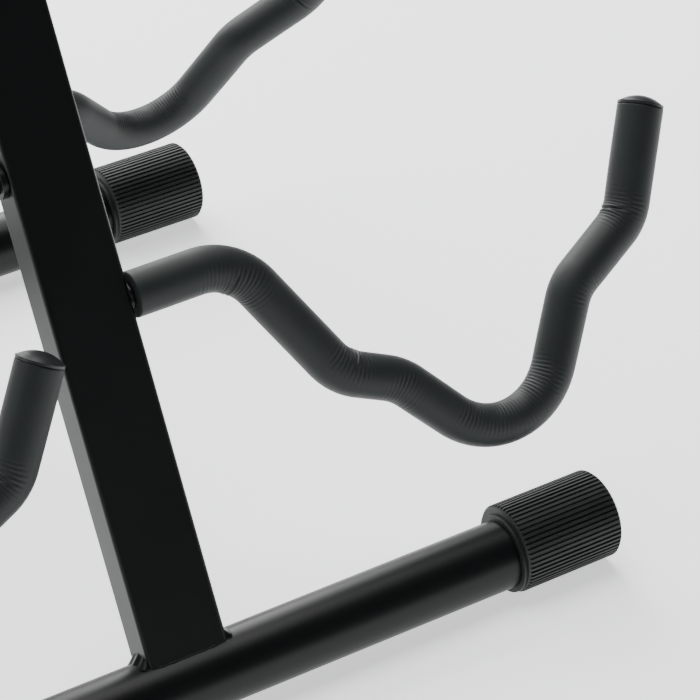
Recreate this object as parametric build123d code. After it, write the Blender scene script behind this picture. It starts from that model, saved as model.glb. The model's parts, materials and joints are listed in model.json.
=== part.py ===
from build123d import *
import math
import os

# Folding guitar rack: two A-frames in a row on two shared base tubes. A guitar faces +X, rests on the two
# padded arms of one A-frame and leans back on the pad at that frame's top.
# +X is the way the guitars face, +Y is the side whose legs swing when the rack folds, +Z is up.
# The origin is the middle of the bottom of the whole rack, on the floor. Sizes are millimetres.

# driving dimensions
leg_lean = 24.7            # lean of each leg from upright, degrees
base_spread = 378.0        # between the two base tube axes
frame_pitch = 323.0        # from the front A-frame to the rear one
tube_radius = 31.75 / 2
tube_wall = 1.5
leg_width = 38.1           # along X
leg_depth = 19.05          # across the leg's lean
leg_corner = 2.2
leg_wall = 1.5
cap_radius = 20.6          # over the ribs
cap_length = 50.3
cap_end_wall = 6.0
cap_bore_drop = 2.0        # the bore sits this far below the middle of the cap
cap_ribs = 56
rib_height = 0.8
rib_land = 0.45            # part of each rib's turn that is its outer face
collar_radius = 18.2
collar_length = 1.6
front_overhang = 213.5     # front leg axis to the outer end of the front cap
rear_overhang = 124.0      # rear leg axis to the outer end of the rear cap
fit_gap = 0.02             # pressed and welded faces

# the padded arms, in the plane of the leg: distance out from the leg axis, distance up the leg
arm_root_height = 167.0
arm_offset = 4.0           # arm axis outward of the leg's middle plane
arm_bends = [(70, 167), (105.5, 104.5), (132.5, 92.5), (184.8, 33.3), (228, 105), (264, 126)]
arm_bend_radii = [30, 27, 30, 35, 25, 25]
arm_tip = (286.5, 172)
rear_arm_splay = 7.2      # the rear arms turn outward by this, degrees
rear_arm_roll = 7.2        # and stand this much nearer upright than their leg
rod_radius = 5.0
rod_end_reach = 2.5        # how far the rod goes into the tip cap
foam_radius = 10.3
front_foam_gap = 1.5       # leg face to the start of the foam
rear_foam_gap = 3.0
tip_lip_radius = 10.6
tip_lip_height = 1.2
tip_dome_height = 3.5
dome_radius = 10.2

# the hinge at the top of each A-frame, on the right leg's axis
hinge_offset = 21.0        # from the left leg's axis
hinge_bolt_radius = 4.0
running_gap = 0.05
barrel_radius = 9.5
plate_thickness = 2.5
plate_gap = 0.3            # plate to the right leg's barrel
plate_nose_radius = 12.0
plate_tail_radius = 9.5
plate_tail_length = 6.0    # down the left leg from its upper weld
left_leg_length = 450.0
plug_flange = 2.0
plug_stem = 7.0
bolt_head_radius = 7.0
bolt_head_height = 4.0
hinge_nut_width = 13.0
hinge_nut_height = 6.0
pad_thickness = 10.0
pad_height = 26.0
pad_length = 44.0
pad_recess_radius = 9.0

# the hooked stay that stops the legs spreading, on the legs' rear faces
stay_height = 229.0        # up each leg
stay_pivot_radius = 3.0
stay_half_width = 7.5
stay_thickness = 2.5
stay_side_gap = 0.1
hook_clearance = 0.5
hook_run = 16.0
hook_way = (-0.507, -0.862)  # the way the stud leaves the hook
stud_head_radius = 6.0
stud_head_height = 2.2
rivet_head_radius = 5.0
rivet_head_height = 1.8
rivet_tail_radius = 4.6
rivet_tail_height = 1.4

# worked out from the above
lean = math.radians(leg_lean)
half_spread = base_spread / 2
axis_height = cap_radius - cap_bore_drop
rise = (base_spread * math.cos(lean) - hinge_offset) / (2 * math.sin(lean))
hinge_y = half_spread - rise * math.tan(lean)
hinge_z = axis_height + rise
right_leg_length = rise / math.cos(lean)
hinge_up_left = (hinge_y + half_spread) * math.sin(lean) + rise * math.cos(lean)
leg_face = leg_width / 2
plate_inner = leg_face + plate_gap
plate_outer = plate_inner + plate_thickness
stay_y = half_spread - stay_height * math.sin(lean)
stay_z = axis_height + stay_height * math.cos(lean)
stay_inner = leg_face + plate_gap
stay_outer = stay_inner + stay_thickness
rear_x = -frame_pitch
front_cap_mouth = front_overhang - cap_length
rear_cap_mouth = rear_x - rear_overhang + cap_length

parts = {}


def leg_plane(frame_x):
    """Plane of a left leg: local X runs along the rack, local Y up the leg, local Z outward."""
    outward = (0, -math.cos(lean), math.sin(lean))
    return Plane(origin=(frame_x, -half_spread, axis_height), x_dir=(1, 0, 0), z_dir=outward)


def on_leg(frame_x, shape):
    return leg_plane(frame_x).location * shape


def mirrored(shape):
    return shape.mirror(Plane.XZ)


def x_rod(radius, start, end, y=0.0, z=0.0):
    """A cylinder along X."""
    return Pos((start + end) / 2, y, z) * Rot(0, 90, 0) * Cylinder(radius, end - start)


def x_hexagon(width, start, end, y=0.0, z=0.0):
    """A hexagonal prism along X, of the given width across its flats."""
    outline = RegularPolygon(width / 2, 6, major_radius=False)
    return Pos(start, y, z) * Rot(0, 90, 0) * extrude(outline, end - start)


def x_plate(outline, start, thickness):
    """A flat plate square to X, its outline drawn with Y to the right and Z up."""
    face = Plane(origin=(start, 0, 0), x_dir=(0, 1, 0), z_dir=(1, 0, 0))
    return face.location * extrude(outline, thickness)


# base tubes and their ribbed rubber caps
def base_tube():
    start = rear_cap_mouth - cap_length + cap_end_wall
    end = front_cap_mouth + cap_length - cap_end_wall
    return x_rod(tube_radius, start, end) - x_rod(tube_radius - tube_wall, start - 1, end + 1)


def end_cap():
    """A cap about the tube's axis, its mouth at X = 0 and its closed end at X = cap_length."""
    half_land = rib_land / 2
    land_reach = cap_radius / math.cos(2 * math.pi * half_land / cap_ribs)
    points = []
    for rib in range(cap_ribs):
        steps = ((-half_land, 0), (half_land, 0), (half_land + 0.13, rib_height), (0.65, rib_height))
        for part_turn, depth in steps:
            turn = 2 * math.pi * (rib + part_turn) / cap_ribs
            reach = land_reach - depth
            points.append((reach * math.cos(turn), reach * math.sin(turn)))
    ribbed = extrude(make_face(Polyline(*points, close=True)), cap_length)
    edge = 1.3
    trim = chamfer(Cylinder(land_reach + 0.1, cap_length).edges().filter_by(GeomType.CIRCLE), edge)
    body = ribbed & (Pos(0, 0, cap_length / 2) * trim)
    body = Pos(0, 0, cap_bore_drop) * Rot(0, 90, 0) * body
    collar = x_rod(collar_radius, -collar_length, 1.0)
    bore = x_rod(tube_radius + fit_gap, -collar_length - 1, cap_length - cap_end_wall)
    return body + collar - bore


# legs
def leg_tube(length):
    """A left leg in its own plane, coped over the base tube at its foot."""
    outside = extrude(Plane.XZ * RectangleRounded(leg_width, leg_depth, leg_corner), -length)
    inner_width = leg_width - 2 * leg_wall
    inner_depth = leg_depth - 2 * leg_wall
    inside = extrude(Plane.XZ * RectangleRounded(inner_width, inner_depth, leg_corner - leg_wall), -length)
    return outside - inside - x_rod(tube_radius + fit_gap, -leg_width, leg_width)


def left_leg():
    hole = x_rod(stay_pivot_radius + fit_gap, -leg_width, 0, stay_height)
    return leg_tube(left_leg_length) - hole


def right_leg():
    return leg_tube(right_leg_length) - x_rod(barrel_radius + fit_gap, -leg_width, leg_width, right_leg_length)


def leg_plug():
    flange = extrude(Plane.XZ * RectangleRounded(leg_width, leg_depth, leg_corner), -plug_flange)
    stem_width = leg_width - 2 * leg_wall - 0.2
    stem_depth = leg_depth - 2 * leg_wall - 0.2
    stem = extrude(Plane.XZ * RectangleRounded(stem_width, stem_depth, 0.6), plug_stem)
    return Pos(0, left_leg_length, 0) * (flange + stem)


# arms, in the left leg's plane
def arm_path(start, tip_reach):
    before = Vector(*arm_bends[-1])
    tip = Vector(*arm_tip)
    tip += (tip - before).normalized() * tip_reach
    points = [(start, arm_root_height)] + arm_bends + [(tip.X, tip.Y)]
    return Pos(0, 0, arm_offset) * FilletPolyline(*points, radius=arm_bend_radii)


def swept(path, radius, bore=0.0):
    section = Circle(radius)
    if bore:
        section -= Circle(bore)
    return sweep(path.location_at(0) * section, path=path)


def arm_rod():
    return swept(arm_path(leg_face - 2.0, rod_end_reach), rod_radius)


def arm_foam(start_gap):
    return swept(arm_path(leg_face + start_gap, 0), foam_radius, rod_radius + fit_gap)


def arm_tip_cap():
    """A low dome with a thin overhanging lip, pushed on the rod's end."""
    ball = (dome_radius ** 2 + tip_dome_height ** 2) / (2 * tip_dome_height)
    lip = Pos(0, 0, tip_lip_height / 2) * Cylinder(tip_lip_radius, tip_lip_height)
    block = Pos(0, 0, tip_lip_height + tip_dome_height) * Box(60, 60, 2 * tip_dome_height)
    dome = Pos(0, 0, tip_lip_height + tip_dome_height - ball) * Sphere(ball)
    bore = Pos(0, 0, rod_end_reach / 2 - 1) * Cylinder(rod_radius + fit_gap, rod_end_reach + 2)
    return arm_path(leg_face, 0).location_at(1) * (lip + (dome & block) - bore)


def arm_turn(frame_x, splay, roll):
    """The turn of an arm about its root on the leg's face."""
    root = leg_plane(frame_x).from_local_coords((leg_face, arm_root_height, arm_offset))
    there = Pos(root.X, root.Y, root.Z)
    return there * Rot(0, 0, -splay) * Rot(roll, 0, 0) * there.inverse()


# hinge, in the left leg's plane
def hinge_plate():
    """Right-hand plate: a nose over the pivot and a tail welded down the left leg."""
    upper = left_leg_length - plate_tail_radius
    spots = [(upper, 0), (upper - plate_tail_length, 0)]
    circles = [Pos(u, v) * Circle(plate_tail_radius) for u, v in spots]
    land = make_hull([edge for circle in circles for edge in circle.edges()])
    nose = Pos(hinge_up_left, -hinge_offset) * Circle(plate_nose_radius)
    outline = make_hull([edge for circle in circles + [nose] for edge in circle.edges()])
    plate = x_plate(outline, plate_inner, plate_thickness) + x_plate(land, leg_face, plate_gap)
    return plate - x_rod(hinge_bolt_radius + fit_gap, 0, 60, hinge_up_left, -hinge_offset)


def hinge_bolt():
    head_start = -plate_outer - bolt_head_height
    shank = x_rod(hinge_bolt_radius, -plate_outer, plate_outer + hinge_nut_height + 1, hinge_y, hinge_z)
    head = x_rod(bolt_head_radius, head_start, -plate_outer, hinge_y, hinge_z)
    head = fillet(head.edges().group_by(Axis.X)[0], 2.0)
    return shank + head - x_hexagon(5.0, head_start - 1, head_start + 2.4, hinge_y, hinge_z)


def hinge_nut():
    nut = x_hexagon(hinge_nut_width, plate_outer, plate_outer + hinge_nut_height, hinge_y, hinge_z)
    return nut - x_rod(hinge_bolt_radius + fit_gap, 0, 60, hinge_y, hinge_z)


def hinge_barrel():
    barrel = x_rod(barrel_radius, -leg_face, leg_face, hinge_y, hinge_z)
    return barrel - x_rod(hinge_bolt_radius + running_gap, -60, 60, hinge_y, hinge_z)


def back_pad():
    """Foam pad on the front hinge plate, recessed round the hinge nut, in the left leg's plane."""
    middle_up = left_leg_length - pad_height / 2 + 1
    slab = Pos(plate_outer + pad_thickness / 2, middle_up, -hinge_offset / 2) * Box(
        pad_thickness, pad_height, pad_length)
    slab = fillet(slab.edges().filter_by(Axis.X), 8.0)
    slab = fillet(slab.faces().sort_by(Axis.X)[-1].edges(), 3.0)
    return slab - x_rod(pad_recess_radius, 0, 60, hinge_up_left, -hinge_offset)


# stay
def stay_bar():
    length = 2 * stay_y
    outline = Pos(length / 2, 0) * SlotCenterToCenter(length, 2 * stay_half_width)
    mouth = stay_pivot_radius + hook_clearance
    seat = Pos(length, 0) * Circle(mouth)
    way_out = Pos(length + hook_run * hook_way[0], hook_run * hook_way[1]) * Circle(mouth)
    slot = make_hull(seat.edges() + way_out.edges())
    outline = outline - Circle(stay_pivot_radius + running_gap) - slot
    return Pos(0, -stay_y, stay_z) * x_plate(outline, -stay_outer, stay_thickness)


def stay_rivet():
    """Through the bar and the leg's rear wall, its tail spread inside the leg."""
    under_head = -stay_outer - stay_side_gap
    inside_wall = -leg_face + leg_wall
    shank = x_rod(stay_pivot_radius, under_head, inside_wall, stay_height)
    head = x_rod(rivet_head_radius, under_head - rivet_head_height, under_head, stay_height)
    head = fillet(head.edges().group_by(Axis.X)[0], 1.4)
    tail = x_rod(rivet_tail_radius, inside_wall, inside_wall + rivet_tail_height, stay_height)
    return shank + head + tail


def stay_stud():
    under_head = -stay_outer - plate_gap
    shank = x_rod(stay_pivot_radius, under_head, -leg_face, stay_height)
    return shank + x_rod(stud_head_radius, under_head - stud_head_height, under_head, stay_height)


# put the rack together with the front A-frame at X = 0
tube_line = Pos(0, -half_spread, axis_height)
parts["left_base_tube"] = tube_line * base_tube()
parts["left_front_foot"] = tube_line * Pos(front_cap_mouth, 0, 0) * end_cap()
parts["left_rear_foot"] = tube_line * Pos(rear_cap_mouth, 0, 0) * Rot(0, 0, 180) * end_cap()
for name in list(parts):
    parts[name.replace("left_", "right_")] = mirrored(parts[name])
for frame, frame_x, splay, roll, foam_gap in (("front", 0.0, 0.0, 0.0, front_foam_gap),
                                              ("rear", rear_x, rear_arm_splay, rear_arm_roll, rear_foam_gap)):
    leg_block = on_leg(frame_x, Pos(0, arm_root_height, 0) * Box(leg_width, 80, leg_depth))
    turn = arm_turn(frame_x, splay, roll)
    arm = {
        "arm_rod": turn * on_leg(frame_x, arm_rod()) - leg_block,
        "arm_foam": turn * on_leg(frame_x, arm_foam(foam_gap)),
        "arm_cap": turn * on_leg(frame_x, arm_tip_cap()),
    }
    for piece, shape in arm.items():
        parts[f"left_{frame}_{piece}"] = shape
        parts[f"right_{frame}_{piece}"] = mirrored(shape)
    parts[f"left_{frame}_leg"] = on_leg(frame_x, left_leg())
    parts[f"right_{frame}_leg"] = mirrored(on_leg(frame_x, right_leg()))
    parts[f"left_{frame}_leg_plug"] = on_leg(frame_x, leg_plug())
    parts[f"{frame}_hinge_plate"] = on_leg(frame_x, hinge_plate())
    parts[f"{frame}_hinge_plate_back"] = on_leg(frame_x, hinge_plate().mirror(Plane.YZ))
    parts[f"{frame}_back_pad"] = on_leg(frame_x, back_pad())
    parts[f"{frame}_stay_rivet"] = on_leg(frame_x, stay_rivet())
    parts[f"{frame}_stay_stud"] = mirrored(on_leg(frame_x, stay_stud()))
    for piece, make in (("hinge_bolt", hinge_bolt), ("hinge_nut", hinge_nut),
                        ("hinge_barrel", hinge_barrel), ("stay_bar", stay_bar)):
        parts[f"{frame}_{piece}"] = Pos(frame_x, 0, 0) * make()

# move the origin to the middle of the bottom of the whole rack
lowest_x = min(shape.bounding_box().min.X for shape in parts.values())
highest_x = max(shape.bounding_box().max.X for shape in parts.values())
front_x = -(lowest_x + highest_x) / 2

os.makedirs("parts", exist_ok=True)
for name, shape in parts.items():
    export_step(Pos(front_x, 0, 0) * shape, f"parts/{name}.step")
print("front A-frame at X", round(front_x, 4), "hinge Y Z", round(hinge_y, 4), round(hinge_z, 4))
print("stay pivot Y Z", round(-stay_y, 4), round(stay_z, 4), "nodes", len(parts))
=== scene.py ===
import json
import math

import bpy
import numpy as np
from mathutils import Matrix, Vector


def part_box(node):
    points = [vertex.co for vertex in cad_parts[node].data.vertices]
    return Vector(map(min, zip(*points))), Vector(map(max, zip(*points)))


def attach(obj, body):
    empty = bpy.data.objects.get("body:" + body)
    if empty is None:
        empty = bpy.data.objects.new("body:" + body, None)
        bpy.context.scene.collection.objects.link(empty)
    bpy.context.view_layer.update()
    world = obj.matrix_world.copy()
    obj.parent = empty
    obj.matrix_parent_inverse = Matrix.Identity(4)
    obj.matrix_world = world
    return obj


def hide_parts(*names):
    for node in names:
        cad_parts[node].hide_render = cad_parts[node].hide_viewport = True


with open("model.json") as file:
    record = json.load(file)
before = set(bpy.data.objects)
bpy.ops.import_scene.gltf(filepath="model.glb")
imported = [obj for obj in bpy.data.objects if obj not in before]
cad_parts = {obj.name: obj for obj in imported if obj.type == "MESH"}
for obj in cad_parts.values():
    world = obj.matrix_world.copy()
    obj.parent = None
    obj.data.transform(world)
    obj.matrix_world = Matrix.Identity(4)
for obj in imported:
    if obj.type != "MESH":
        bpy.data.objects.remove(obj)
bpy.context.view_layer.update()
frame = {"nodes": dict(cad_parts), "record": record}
print("rack frame loaded:", len(frame["nodes"]), "nodes")

mm = 0.001
sides = ("left", "right")
frameNames = ("front", "rear")
everyLeg = [(side, frameName) for side in sides for frameName in frameNames]

rackLayout = {
    "legLean": 24.7,          # degrees from upright
    "legWidth": 38.1,         # mm, along the rack
    "legDepth": 19.05,        # mm
    "tubeRadius": 15.875,     # mm
    "rearArmSplay": 7.2,      # degrees, the rear arms turn outward
    "rearArmRoll": 7.2,       # degrees, and stand nearer upright
}


def boxCentre(nodeName):
    low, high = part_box(nodeName)
    return [(a + b) / 2 for a, b in zip(low, high)]


tubeCentre = boxCentre("left_base_tube")
legLean = math.radians(rackLayout["legLean"])
upLeg = np.array([0, math.sin(legLean), math.cos(legLean)])
outOfLeg = np.array([0, -math.cos(legLean), math.sin(legLean)])
alongRack = np.array([1.0, 0, 0])


def legOrigin(frameName):
    # where this frame's left leg meets its base tube; every place on the leg starts here
    return np.array([boxCentre(f"left_{frameName}_leg")[0], tubeCentre[1], tubeCentre[2]])


def onLeg(frameName, points):
    # a point (along rack, up leg, outward) in mm becomes leg origin + the three directions times its numbers
    axes = np.stack([alongRack, upLeg, outOfLeg])
    return legOrigin(frameName) + np.asarray(points) * mm @ axes


def sideOf(points, side):
    # the right-hand pieces are the left-hand ones mirrored across the rack's middle plane
    return points if side == "left" else points * np.array([1, -1, 1])


def softPower(values, power):
    # a cosine or sine keeps its sign and is raised to a power: under 1 squares a circle, over 1 hollows it
    return np.sign(values) * np.abs(values) ** power


def lengthAlong(points):
    # distance run along a line of points, starting at 0
    return np.concatenate([[0], np.cumsum(np.linalg.norm(np.diff(points, axis=0), axis=1))])


def readAt(wanted, reach, points):
    # the line's points at the wanted distances along it
    return np.stack([np.interp(wanted, reach, column) for column in points.T], axis=1)


def meshFromRings(name, rings, loop=False):
    # rings is rows x columns x 3: each row is a closed ring of points, and rows are joined to the next;
    # an open surface is shut with a point at the middle of its first and last rings, faces turned outward
    rows, columns = rings.shape[:2]
    index = np.arange(rows * columns).reshape(rows, columns)
    beside = np.roll(index, -1, axis=1)
    if loop:
        ahead, aheadBeside = np.roll(index, -1, axis=0), np.roll(beside, -1, axis=0)
        quads = np.stack([index, beside, aheadBeside, ahead], axis=-1).reshape(-1, 4)
    else:
        quads = np.stack([index[:-1], beside[:-1], beside[1:], index[1:]], axis=-1).reshape(-1, 4)
    points = rings.reshape(-1, 3)
    fans = np.empty((0, 3), dtype=int)
    if not loop:
        points = np.vstack([points, rings[0].mean(axis=0), rings[-1].mean(axis=0)])
        firstPole, lastPole = rows * columns, rows * columns + 1
        startFan = np.stack([np.full(columns, firstPole), beside[0], index[0]], axis=-1)
        endFan = np.stack([np.full(columns, lastPole), index[-1], beside[-1]], axis=-1)
        fans = np.vstack([startFan, endFan])
    triangles = np.vstack([quads[:, :3], quads[:, [0, 2, 3]], fans])
    a, b, c = (points[triangles[:, k]] for k in range(3))
    signedVolume = np.einsum("ij,ij->i", a, np.cross(b, c)).sum()
    if signedVolume < 0:
        quads, fans = quads[:, ::-1], fans[:, ::-1]
    mesh = bpy.data.meshes.new(name)
    mesh.from_pydata(points.tolist(), [], quads.tolist() + fans.tolist())
    mesh.polygons.foreach_set("use_smooth", np.ones(len(mesh.polygons), dtype=bool))
    mesh.update()
    piece = bpy.data.objects.new(name, mesh)
    bpy.context.scene.collection.objects.link(piece)
    return piece


def colour(hexText):
    # sRGB hex to linear RGBA
    parts = np.array([int(hexText[k:k + 2], 16) for k in (0, 2, 4)]) / 255
    linear = np.where(parts <= 0.04045, parts / 12.92, ((parts + 0.055) / 1.055) ** 2.4)
    return (*linear.tolist(), 1.0)


def addNode(tree, kind, inputs=None, **settings):
    node = tree.nodes.new(kind)
    for name, value in settings.items():
        setattr(node, name, value)
    for name, value in (inputs or {}).items():
        if isinstance(value, bpy.types.NodeSocket):
            tree.links.new(value, node.inputs[name])
        else:
            node.inputs[name].default_value = value
    return node


def finishMaterial(name, look):
    # colour drifts between two shades over driftSize mm, roughness with it, and grain of grainSize mm lifts
    # the surface by grainHeight mm
    material = bpy.data.materials.new(name)
    material.use_nodes = True
    tree = material.node_tree
    shader = tree.nodes["Principled BSDF"]
    place = addNode(tree, "ShaderNodeTexCoord").outputs["Object"]
    drift = addNode(tree, "ShaderNodeTexNoise",
                    {"Vector": place, "Scale": 1 / (look["driftSize"] * mm), "Detail": 4.0}).outputs[0]
    # a colour mix takes its factor on socket 0 and its colours on 6 and 7, and gives the result on 2
    shades = addNode(tree, "ShaderNodeMix",
                     {0: drift, 6: colour(look["dark"]), 7: colour(look["light"])}, data_type="RGBA")
    rough = addNode(tree, "ShaderNodeMapRange",
                    {"Value": drift, "To Min": look["roughLow"], "To Max": look["roughHigh"]})
    grain = addNode(tree, "ShaderNodeTexNoise",
                    {"Vector": place, "Scale": 1 / (look["grainSize"] * mm), "Detail": 2.0}).outputs[0]
    bump = addNode(tree, "ShaderNodeBump", {"Height": grain, "Distance": look["grainHeight"] * mm})
    tree.links.new(shades.outputs[2], shader.inputs["Base Color"])
    tree.links.new(rough.outputs[0], shader.inputs["Roughness"])
    tree.links.new(bump.outputs[0], shader.inputs["Normal"])
    for socket, value in look.get("shader", {}).items():
        shader.inputs[socket].default_value = value
    return material


finishes = {
    # satin black powder coat on steel: near black face on, a soft clear highlight, faint orange peel
    "powder_coat": {"dark": "08090a", "light": "0d0f10", "driftSize": 60,
                    "roughLow": 0.30, "roughHigh": 0.40, "grainSize": 1.3, "grainHeight": 0.02,
                    "shader": {"Specular IOR Level": 0.24}},
    # moulded rubber feet: dull, slightly dusty black
    "moulded_rubber": {"dark": "0d1010", "light": "171b1b", "driftSize": 9,
                       "roughLow": 0.50, "roughHigh": 0.66, "grainSize": 0.5, "grainHeight": 0.03},
    # closed-cell foam sleeve with a smooth skin: grey green, soft and slightly uneven
    "arm_foam": {"dark": "161a1a", "light": "1e2424", "driftSize": 14,
                 "roughLow": 0.50, "roughHigh": 0.64, "grainSize": 0.7, "grainHeight": 0.03,
                 "shader": {"Sheen Weight": 0.08, "Sheen Roughness": 0.4, "Specular IOR Level": 0.35}},
    # injection-moulded plastic: even dark grey, satin
    "moulded_plastic": {"dark": "14181a", "light": "1c2021", "driftSize": 8,
                        "roughLow": 0.38, "roughHigh": 0.48, "grainSize": 0.4, "grainHeight": 0.01},
    # steel rod and bar under a thin black paint: dark, with a narrow even highlight
    "bare_steel": {"dark": "08090a", "light": "0e1011", "driftSize": 20,
                   "roughLow": 0.32, "roughHigh": 0.42, "grainSize": 0.8, "grainHeight": 0.01},
    # black oxide steel fasteners: dark metal with a low sheen
    "black_hardware": {"dark": "18191a", "light": "262728", "driftSize": 5,
                       "roughLow": 0.34, "roughHigh": 0.50, "grainSize": 0.3, "grainHeight": 0.01,
                       "shader": {"Metallic": 1.0}},
}
materials = {slotName: finishMaterial(slotName, look) for slotName, look in finishes.items()}
for subpart in frame["record"]["subparts"]:
    for materialSlot in frame["nodes"][subpart["node"]].material_slots:
        materialSlot.material = materials[subpart["material_slot"]]
print("finishes on the rack's own parts")


def finishPiece(piece, body, slotName):
    piece.data.materials.append(materials[slotName])
    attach(piece, body)


# every length in mm; corners and tip are (out from the leg's middle, up the leg)
armShape = {
    "corners": [(70, 167), (105.5, 104.5), (132.5, 92.5), (184.8, 33.3), (228, 105), (264, 126)],
    "radii": [30, 27, 30, 35, 25, 25],
    "arcSteps": 40,
    "rootHeight": 167.0,
    "tip": (286.5, 172.0),
    "offset": 4.0,              # outward of the leg's middle plane
    "startGap": {"front": 1.5, "rear": 3.0},
    "radius": 10.3,
    "ringSpacing": 0.36,
    "ringPoints": 64,
    "edgeRound": 0.9,
    "smoothingRings": 23,       # odd, the sleeve's direction is averaged over this many
    "dipBend": 3,               # which bend is the bottom of the dip
    "thinning": 0.5,            # the sleeve is stretched thinner there
    "thinningReach": 45,
    "tipSwell": 0.35,           # fuller where it is pushed up to the tip cap
    "swellStart": 45,           # back from the tip
    "swellBlend": 12,
    "lumpHeight": 0.1,
    "lumpLength": 17,
    "lumpTwist": 40,            # a lump turns one radian round the sleeve in this length
    "seed": 11,
}
wrinkleShape = {
    "depth": 0.55,
    "spacing": 2.1,
    "sharpness": 3,             # power, narrow furrows between wide rounds
    "reach": 25,                # how far they run past a bend
    "fullBend": 27,             # a bend of this radius wrinkles fully
    "mostSqueeze": 1.1,
    "fallAround": 0.7,          # power, how they fade round the sleeve
    "lean": 0.6,                # radians, towards the outside of the rack
    "wander": 0.12,             # radians a ring, they drift along the sleeve
    "bow": 0.9,                 # radians, and curve as they go round
    "bowLength": 9,
    "patchLevel": 0.65,         # depth comes and goes: level +- swing
    "patchSwing": 0.35,
    "patchLength": 2.9,
    "patchTurn": 2.3,
}
creaseShape = {
    "bends": [0, 1, 5],         # sharp enough to fold the sleeve's inner side
    "depth": 1.1,
    "width": 0.8,
    "lipWidth": 3.2,            # times width, the foam stands up beside the fold
    "lipHeight": 0.45,          # times depth
    "shift": 2,                 # either way from the middle of the bend
    "bow": 1.2,
    "fallAround": 0.8,
}


def armLine(frameName):
    # straight runs joined by arcs tangent to both, then read at even steps; also gives each bend's place
    start = (rackLayout["legWidth"] / 2 + armShape["startGap"][frameName], armShape["rootHeight"])
    stops = np.array([start, *armShape["corners"], armShape["tip"]], dtype=float)
    line = [stops[:1]]
    middles = []
    for before, corner, after, radius in zip(stops, stops[1:], stops[2:], armShape["radii"]):
        into, out = corner - before, after - corner
        into, out = into / np.linalg.norm(into), out / np.linalg.norm(out)
        turn = math.atan2(into[0] * out[1] - into[1] * out[0], into @ out)
        begin = corner - into * radius * math.tan(abs(turn) / 2)
        inward = np.array([-into[1], into[0]]) * math.copysign(1, turn)
        steps = np.linspace(0, abs(turn), armShape["arcSteps"])[:, None]
        line.append(begin + radius * (np.sin(steps) * into + (1 - np.cos(steps)) * inward))
        middles.append(line[-1][armShape["arcSteps"] // 2])
    line = np.vstack([*line, stops[-1:]])
    reach = lengthAlong(line)
    even = np.linspace(0, reach[-1], int(reach[-1] / armShape["ringSpacing"]))
    line = readAt(even, reach, line)
    bends = [even[np.argmin(np.linalg.norm(line - middle, axis=1))] for middle in middles]
    return even, line, bends


def steadyHeading(line, along):
    # the line's direction at each step, averaged over its neighbours so that straights ease into bends
    tangent = np.gradient(line, along, axis=0)
    kernel = np.hanning(armShape["smoothingRings"]) / np.hanning(armShape["smoothingRings"]).sum()
    beyond = armShape["smoothingRings"] // 2
    padded = np.pad(tangent, ((beyond, beyond), (0, 0)), mode="edge")
    tangent = np.stack([np.convolve(padded[:, k], kernel, mode="valid") for k in range(2)], axis=1)
    return tangent / np.linalg.norm(tangent, axis=1)[:, None]


def wrinkleDepths(random, seed, s, angle, curvature):
    # depth = squeeze x patchiness x (0.5 + 0.5 sin(2 pi s / spacing + wander))^sharpness, where squeeze is
    # the bend's curvature, spread along the sleeve, times how far a point lies on the inner side
    look = wrinkleShape
    window = np.hanning(2 * int(look["reach"] / armShape["ringSpacing"] / 2) + 1)
    bending = np.convolve(curvature, window / window.sum(), mode="same")[:, None]
    facing = np.cos(angle) * np.sign(bending) * math.cos(look["lean"])
    inner = np.clip(facing + np.sin(angle) * math.sin(look["lean"]), 0, 1)
    bendSqueeze = np.clip(np.abs(bending) * look["fullBend"], 0, look["mostSqueeze"])
    squeeze = inner ** look["fallAround"] * bendSqueeze
    wander = np.cumsum(random.normal(0, look["wander"], len(s)))[:, None]
    phase = wander + look["bow"] * np.sin(2 * angle + s / look["bowLength"])
    ripple = 0.5 + 0.5 * np.sin(2 * math.pi * s / look["spacing"] + phase)
    swing = look["patchSwing"] * np.sin(s / look["patchLength"] + look["patchTurn"] * angle + seed)
    return look["depth"] * squeeze * (look["patchLevel"] + swing) * ripple ** look["sharpness"]


def creaseDepths(random, s, angle, along, curvature, bends):
    # at each sharp bend a narrow bell-shaped fold goes in and a wider, lower one stands out beside it
    look = creaseShape
    depths = np.zeros(np.broadcast_shapes(s.shape, angle.shape))
    for bend in look["bends"]:
        middle = bends[bend] + random.uniform(-look["shift"], look["shift"])
        middle = middle + look["bow"] * np.sin(angle * 2 + bend)
        inner = np.clip(np.cos(angle) * np.sign(np.interp(bends[bend], along, curvature)), 0, 1)
        fold = np.exp(-((s - middle) / look["width"]) ** 2)
        lips = np.exp(-((s - middle) / (look["lipWidth"] * look["width"])) ** 2)
        depths += look["depth"] * inner ** look["fallAround"] * (fold - look["lipHeight"] * lips)
    return depths


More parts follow.
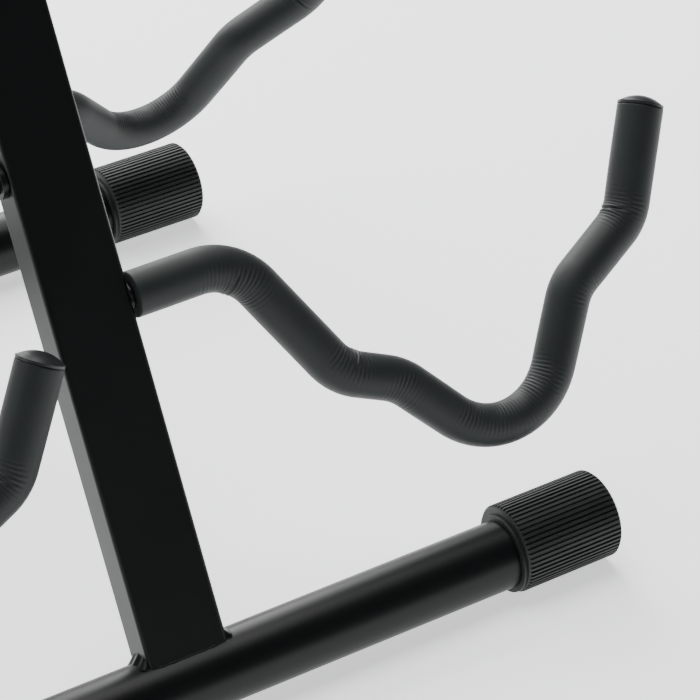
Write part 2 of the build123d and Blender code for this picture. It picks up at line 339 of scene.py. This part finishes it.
def foamSleeve(frameName, side, seed):
    # a ring of radius r(along, around) square to the line: r = sleeve radius - thinning in the dip + swell
    # at the tip + low lumps - wrinkles - creases, rounded off at both ends by a quarter circle
    random = np.random.default_rng(seed)
    along, line, bends = armLine(frameName)
    tangent = steadyHeading(line, along)
    normal = np.stack([-tangent[:, 1], tangent[:, 0]], axis=1)
    curvature = np.gradient(np.unwrap(np.arctan2(tangent[:, 1], tangent[:, 0])), along)
    around = np.linspace(0, 2 * math.pi, armShape["ringPoints"], endpoint=False)
    s, angle = along[:, None], around[None, :]
    wrinkles = wrinkleDepths(random, seed, s, angle, curvature)
    creases = creaseDepths(random, s, angle, along, curvature, bends)
    dip = np.exp(-((s - bends[armShape["dipBend"]]) / armShape["thinningReach"]) ** 2)
    swell = 1 / (1 + np.exp(-(s - along[-1] + armShape["swellStart"]) / armShape["swellBlend"]))
    lumps = np.sin(s / armShape["lumpLength"] + seed) * np.cos(angle + s / armShape["lumpTwist"])
    radius = armShape["radius"] - armShape["thinning"] * dip + armShape["tipSwell"] * swell
    radius = radius + armShape["lumpHeight"] * lumps - wrinkles - creases
    fromEnd = np.minimum(s - along[0], along[-1] - s) / armShape["edgeRound"]
    edge = 1 - np.sqrt(np.clip(1 - np.clip(1 - fromEnd, 0, 1) ** 2, 0, 1))
    radius = radius - armShape["edgeRound"] * edge
    flat = line[:, None, :] + (radius * np.cos(angle))[..., None] * normal[:, None, :]
    outward = armShape["offset"] + radius * np.sin(angle)
    rings = onLeg(frameName, np.concatenate([flat, outward[..., None]], axis=-1))
    if frameName == "rear":
        root = onLeg(frameName, (rackLayout["legWidth"] / 2, armShape["rootHeight"], armShape["offset"]))
        splay = Matrix.Rotation(math.radians(-rackLayout["rearArmSplay"]), 3, "Z")
        roll = Matrix.Rotation(math.radians(rackLayout["rearArmRoll"]), 3, "X")
        rings = root + (rings - root) @ np.array(splay @ roll).T
    return meshFromRings(f"{side}_{frameName}_foam_sleeve", sideOf(rings, side))


for number, (side, frameName) in enumerate(everyLeg):
    sleeve = foamSleeve(frameName, side, armShape["seed"] + number)
    finishPiece(sleeve, f"{side}_side", "arm_foam")
    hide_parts(f"{side}_{frameName}_arm_foam")
print("foam sleeves made")

# mm: out from the leg's middle, up the leg, outward
padShape = {"centre": (26.9, 438, -10.5), "size": (9.6, 25.4, 43.0), "squareness": 0.42, "points": 72}


def backPad(frameName):
    # a squared-off ball: each direction's cosine or sine is raised to the squareness, times half the size
    square = padShape["squareness"]
    tilt = np.linspace(-math.pi / 2, math.pi / 2, padShape["points"] // 2)[1:-1, None]
    turn = np.linspace(0, 2 * math.pi, padShape["points"], endpoint=False)[None, :]
    half = np.array(padShape["size"]) / 2
    thick = softPower(np.sin(tilt), square) * np.ones_like(turn) * half[0]
    high = softPower(np.cos(tilt), square) * softPower(np.cos(turn), square) * half[1]
    wide = softPower(np.cos(tilt), square) * softPower(np.sin(turn), square) * half[2]
    points = np.stack([thick, high, wide], axis=-1) + np.array(padShape["centre"])
    return meshFromRings(f"{frameName}_back_pad_foam", onLeg(frameName, points))


for frameName in frameNames:
    pad = backPad(frameName)
    finishPiece(pad, "left_side", "arm_foam")
    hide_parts(f"{frameName}_back_pad")
print("back pads made")

# lengths in mm
legWeldShape = {
    "wideSides": 0.5,           # bead radius where leg and tube run flush
    "narrowSides": 4.0,         # reach of the fillet where the leg stands on top of the tube
    "corner": 0.3,              # power, how square the leg's outline turns
    "outlineSteps": 4000,
    "steps": 260,
    "sink": 0.3,
    "sideStart": 0.94,          # part of the leg's half width where a narrow side begins
    "sideBlend": 0.6,
    "sideFade": 6,              # power, the fillet dies away at the leg's edges
    "lumps": (17, 0.16),        # how many round the leg, and how high as a part of the bead
    "ripples": (23, 0.08),
    "calmer": 0.5,              # lumps are this much lower on the fillet
    "seed": 31,
}
armWeldShape = {"ring": 5.6, "bead": 1.3, "steps": 96, "lumps": (7, 0.15), "seed": 51}
beadPoints = 20
hollowing = 1.2                 # added to the section's power of 1 where it is a fillet


def beadAlong(centre, thickness, away, hollow=0.0):
    # a small circle, its radius given for each step, carried round a closed line in 3-D (all mm); where
    # hollow is 1 its cosine and sine are raised to 2.2, a four-pointed section whose sides are a fillet
    ahead = np.roll(centre, -1, axis=0) - np.roll(centre, 1, axis=0)
    across = np.cross(ahead, away)
    across /= np.linalg.norm(across, axis=1)[:, None]
    other = np.broadcast_to(away, across.shape)
    turn = np.linspace(0, 2 * math.pi, beadPoints, endpoint=False)[None, :, None]
    power = 1 + hollowing * np.broadcast_to(hollow, len(centre))[:, None, None]
    section = (softPower(np.cos(turn), power) * across[:, None, :]
               + softPower(np.sin(turn), power) * other[:, None, :])
    return centre[:, None, :] + thickness[:, None, None] * section


def legWeld(frameName, side, seed):
    # the leg's outline followed round where it meets the tube: up = sqrt(tube radius^2 - outward^2)
    look = legWeldShape
    random = np.random.default_rng(seed)
    turn = np.linspace(0, 2 * math.pi, look["outlineSteps"], endpoint=False)
    wide = softPower(np.cos(turn), look["corner"]) * rackLayout["legWidth"] / 2
    deep = softPower(np.sin(turn), look["corner"]) * rackLayout["legDepth"] / 2
    up = np.sqrt(rackLayout["tubeRadius"] ** 2 - deep ** 2)
    outline = np.stack([wide, up, deep], axis=1)
    outline = np.vstack([outline, outline[:1]])
    reach = lengthAlong(outline)
    centre = readAt(np.linspace(0, reach[-1], look["steps"], endpoint=False), reach, outline)
    fromMiddle = np.abs(centre[:, 0])
    onNarrowSide = (fromMiddle - look["sideStart"] * rackLayout["legWidth"] / 2) / look["sideBlend"]
    onNarrowSide = np.clip(onNarrowSide, 0, 1)
    onNarrowSide *= 1 - np.abs(2 * centre[:, 2] / rackLayout["legDepth"]) ** look["sideFade"]
    turn = np.linspace(0, 2 * math.pi, look["steps"], endpoint=False)
    (lumpCount, lumpHeight), (rippleCount, rippleHeight) = look["lumps"], look["ripples"]
    lumps = lumpHeight * np.sin(lumpCount * turn + random.uniform(0, 6))
    blobs = 1 + lumps + rippleHeight * np.sin(rippleCount * turn)
    blobs = 1 + (blobs - 1) * (1 - look["calmer"] * onNarrowSide)
    thickness = (look["wideSides"] + (look["narrowSides"] - look["wideSides"]) * onNarrowSide) * blobs
    centre[:, 1] -= look["sink"] * onNarrowSide
    rings = onLeg(frameName, beadAlong(centre, thickness, (0.0, 1.0, 0.0), onNarrowSide))
    return meshFromRings(f"{side}_{frameName}_leg_weld", sideOf(rings, side), loop=True)


def armWeld(frameName, side, seed):
    # a ring on the leg's face round the arm's rod: up and outward are the ring's radius times cos and sin
    look = armWeldShape
    random = np.random.default_rng(seed)
    turn = np.linspace(0, 2 * math.pi, look["steps"], endpoint=False)
    centre = np.stack([np.full_like(turn, rackLayout["legWidth"] / 2),
                       armShape["rootHeight"] + look["ring"] * np.cos(turn),
                       armShape["offset"] + look["ring"] * np.sin(turn)], axis=1)
    lumpCount, lumpHeight = look["lumps"]
    thickness = look["bead"] * (1 + lumpHeight * np.sin(lumpCount * turn + random.uniform(0, 6)))
    rings = onLeg(frameName, beadAlong(centre, thickness, (1.0, 0.0, 0.0)))
    return meshFromRings(f"{side}_{frameName}_arm_weld", sideOf(rings, side), loop=True)


for number, (side, frameName) in enumerate(everyLeg):
    finishPiece(legWeld(frameName, side, legWeldShape["seed"] + number), f"{side}_side", "powder_coat")
    finishPiece(armWeld(frameName, side, armWeldShape["seed"] + number), f"{side}_side", "powder_coat")
print("weld beads made")

# the floor glows a little, as a lit acrylic sweep does, which keeps it pale beside a black object
floorLook = {"reach": 9, "paint": "f7f8f8", "roughness": 0.9, "glow": "fbfcfc", "glowStrength": 1.0}
reach = floorLook["reach"]
floorMesh = bpy.data.meshes.new("studio_floor")
floorMesh.from_pydata([(-reach, -reach, 0), (reach, -reach, 0), (reach, reach, 0), (-reach, reach, 0)],
                      [], [(0, 1, 2, 3)])
floor = bpy.data.objects.new("studio_floor", floorMesh)
bpy.context.scene.collection.objects.link(floor)
floorPaint = bpy.data.materials.new("pale_matte_paint")
floorPaint.use_nodes = True
paintSockets = floorPaint.node_tree.nodes["Principled BSDF"].inputs
paintSockets["Base Color"].default_value = colour(floorLook["paint"])
paintSockets["Roughness"].default_value = floorLook["roughness"]
paintSockets["Emission Color"].default_value = colour(floorLook["glow"])
paintSockets["Emission Strength"].default_value = floorLook["glowStrength"]
floorMesh.materials.append(floorPaint)

roomLight = {"shade": "fbfcfc", "strength": 0.12}
world = bpy.data.worlds.new("studio")
world.use_nodes = True
world.node_tree.nodes["Background"].inputs["Color"].default_value = colour(roomLight["shade"])
world.node_tree.nodes["Background"].inputs["Strength"].default_value = roomLight["strength"]
bpy.context.scene.world = world

# places and sizes in metres from the front leg's foot, power in watts
softLights = {
    "overhead": {"place": (0.1, 0.6, 2.2), "size": 2.0, "power": 60},
    "back_rim": {"place": (0.3, 2.0, 1.2), "size": 1.6, "power": 75},
    "left_side": {"place": (-2.0, 0.6, 0.7), "size": 1.0, "power": 10},
}
origin = Vector(legOrigin("front"))
for lightName, light in softLights.items():
    lamp = bpy.data.lights.new(lightName, "AREA")
    lamp.size, lamp.energy = light["size"], light["power"]
    holder = bpy.data.objects.new(lightName, lamp)
    holder.location = origin + Vector(light["place"])
    holder.rotation_euler = (-Vector(light["place"])).to_track_quat("-Z", "Y").to_euler()
    bpy.context.scene.collection.objects.link(holder)

viewpoint = {
    "azimuth": 30.48, "elevation": 32.21, "roll": -2.72,                # degrees
    "distance": 1.5037, "target": (0.1026, 0.02505, 0.1169),            # metres
    "lens": 180.74, "sensor": 36,                                       # mm
}
azimuth, elevation, roll = (math.radians(viewpoint[k]) for k in ("azimuth", "elevation", "roll"))
forward = Vector((math.sin(azimuth) * math.cos(elevation), math.cos(azimuth) * math.cos(elevation),
                  -math.sin(elevation)))
levelRight = Vector((math.cos(azimuth), -math.sin(azimuth), 0))
levelUp = levelRight.cross(forward)
right = math.cos(roll) * levelRight + math.sin(roll) * levelUp
up = -math.sin(roll) * levelRight + math.cos(roll) * levelUp
cameraData = bpy.data.cameras.new("camera")
cameraData.lens, cameraData.sensor_width = viewpoint["lens"], viewpoint["sensor"]
camera = bpy.data.objects.new("camera", cameraData)
turned = Matrix((right, up, -forward)).transposed().to_4x4()
eye = origin + Vector(viewpoint["target"]) - viewpoint["distance"] * forward
camera.matrix_world = Matrix.Translation(eye) @ turned
bpy.context.scene.collection.objects.link(camera)
bpy.context.scene.camera = camera
print("studio ready")
